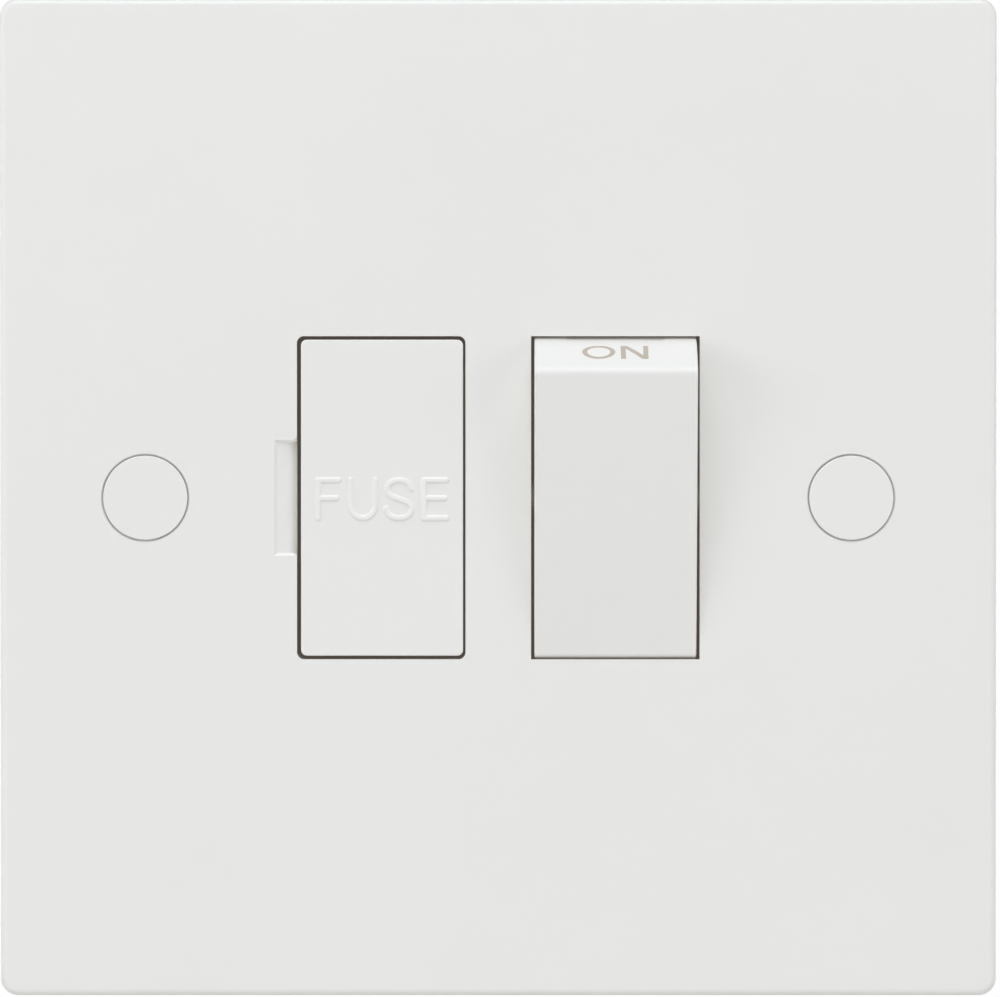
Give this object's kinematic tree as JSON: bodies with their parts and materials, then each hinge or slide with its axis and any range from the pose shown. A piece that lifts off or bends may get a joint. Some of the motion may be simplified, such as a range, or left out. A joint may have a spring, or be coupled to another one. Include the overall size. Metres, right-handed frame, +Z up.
{
  "type": "fused spur unit",
  "caption": "Square white wall plate with a flush fuse carrier, a rocker switch, two round screw caps and a rear base with clamped wire terminals.",
  "frame": {"origin": "middle of the plate, between the two fixing holes, on the wall plane", "axes": "+X to the right of the plate, +Z up, +Y into the wall"},
  "size_m": [0.086, 0.0317, 0.086],
  "materials": {
    "plate_white": "glossy white urea moulding",
    "cap_white": "glossy white moulding",
    "rocker_white": "glossy white moulding",
    "carrier_white": "glossy white moulding",
    "base_white": "satin white moulding",
    "plunger_nylon": "natural nylon",
    "brass": "cut and stamped brass",
    "bronze": "rolled spring bronze",
    "silver": "fine silver, dull",
    "steel": "zinc plated steel",
    "ceramic": "fired ceramic, stood in for by plastic",
    "nickel": "nickel plated, polished"
  },
  "bodies": {
    "root": {"front_plate": "plate_white", "rear_base": "base_white", "base_screws": "steel", "fixed_contacts": "silver", "live_pivot_bracket": "brass", "neutral_pivot_bracket": "brass", "live_contact_strip": "brass", "neutral_contact_strip": "brass", "load_live_strip": "brass", "earth_bridge": "brass", "upper_fuse_clip": "bronze", "lower_fuse_clip": "bronze", "terminal_supply_live": "brass", "terminal_supply_neutral": "brass", "terminal_load_live": "brass", "terminal_load_neutral": "brass", "terminal_earth_left": "brass", "terminal_earth_right": "brass"},
    "rocker": {"rocker": "rocker_white", "live_spring": "steel", "neutral_spring": "steel"},
    "live_plunger": {"live_plunger": "plunger_nylon"},
    "neutral_plunger": {"neutral_plunger": "plunger_nylon"},
    "live_contact_bar": {"live_contact_bar": "bronze", "live_moving_contact": "silver"},
    "neutral_contact_bar": {"neutral_contact_bar": "bronze", "neutral_moving_contact": "silver"},
    "fuse_carrier": {"fuse_carrier": "carrier_white", "fuse_barrel": "ceramic", "fuse_cap_upper": "nickel", "fuse_cap_lower": "nickel"},
    "screw_cap_left": {"screw_cap_left": "cap_white"},
    "screw_cap_right": {"screw_cap_right": "cap_white"},
    "terminal_screw_supply_live": {"terminal_screw_supply_live": "steel"},
    "terminal_screw_supply_neutral": {"terminal_screw_supply_neutral": "steel"},
    "terminal_screw_load_live": {"terminal_screw_load_live": "steel"},
    "terminal_screw_load_neutral": {"terminal_screw_load_neutral": "steel"},
    "terminal_screw_earth_left": {"terminal_screw_earth_left": "steel"},
    "terminal_screw_earth_right": {"terminal_screw_earth_right": "steel"}
  },
  "joints": [
    {"name": "rocker_tilt", "type": "hinge", "parent": "root", "child": "rocker", "pos_m": [0.01, -0.0048, 0], "axis": [-1, 0, 0], "range_deg": [0, 24]},
    {"name": "fuse_carrier_slide", "type": "slide", "parent": "root", "child": "fuse_carrier", "axis": [0, -1, 0], "range_m": [0, 0.018]},
    {"name": "live_bar_rock", "type": "hinge", "parent": "root", "child": "live_contact_bar", "pos_m": [0.0062, 0.0056, 0], "axis": [-1, 0, 0], "range_deg": [-17.25, 0]},
    {"name": "live_plunger_slide", "type": "slide", "parent": "rocker", "child": "live_plunger", "axis": [0, -0.9781, -0.2079], "range_m": [0, 0.0008], "stiffness_N_per_m": 600, "springref_m": -0.002, "deforming": ["live_spring"]},
    {"name": "neutral_bar_rock", "type": "hinge", "parent": "root", "child": "neutral_contact_bar", "pos_m": [0.0138, 0.0056, 0], "axis": [-1, 0, 0], "range_deg": [-17.25, 0]},
    {"name": "neutral_plunger_slide", "type": "slide", "parent": "rocker", "child": "neutral_plunger", "axis": [0, -0.9781, -0.2079], "range_m": [0, 0.0008], "stiffness_N_per_m": 600, "springref_m": -0.002, "deforming": ["neutral_spring"]},
    {"name": "screw_cap_left_pull", "type": "slide", "parent": "root", "child": "screw_cap_left", "axis": [0, -1, 0], "range_m": [0, 0.004]},
    {"name": "screw_cap_right_pull", "type": "slide", "parent": "root", "child": "screw_cap_right", "axis": [0, -1, 0], "range_m": [0, 0.004]},
    {"name": "supply_live_screw_turn", "type": "slide", "parent": "root", "child": "terminal_screw_supply_live", "axis": [0, -1, 0], "range_m": [0, 0.0033]},
    {"name": "supply_neutral_screw_turn", "type": "slide", "parent": "root", "child": "terminal_screw_supply_neutral", "axis": [0, -1, 0], "range_m": [0, 0.0033]},
    {"name": "load_live_screw_turn", "type": "slide", "parent": "root", "child": "terminal_screw_load_live", "axis": [0, -1, 0], "range_m": [0, 0.0033]},
    {"name": "load_neutral_screw_turn", "type": "slide", "parent": "root", "child": "terminal_screw_load_neutral", "axis": [0, -1, 0], "range_m": [0, 0.0033]},
    {"name": "earth_left_screw_turn", "type": "slide", "parent": "root", "child": "terminal_screw_earth_left", "axis": [0, -1, 0], "range_m": [0, 0.0033]},
    {"name": "earth_right_screw_turn", "type": "slide", "parent": "root", "child": "terminal_screw_earth_right", "axis": [0, -1, 0], "range_m": [0, 0.0033]}
  ],
  "couplings": [
    {"joint": "live_bar_rock", "follows": "rocker_tilt", "ratio": -0.71667},
    {"joint": "neutral_bar_rock", "follows": "rocker_tilt", "ratio": -0.71667}
  ]
}
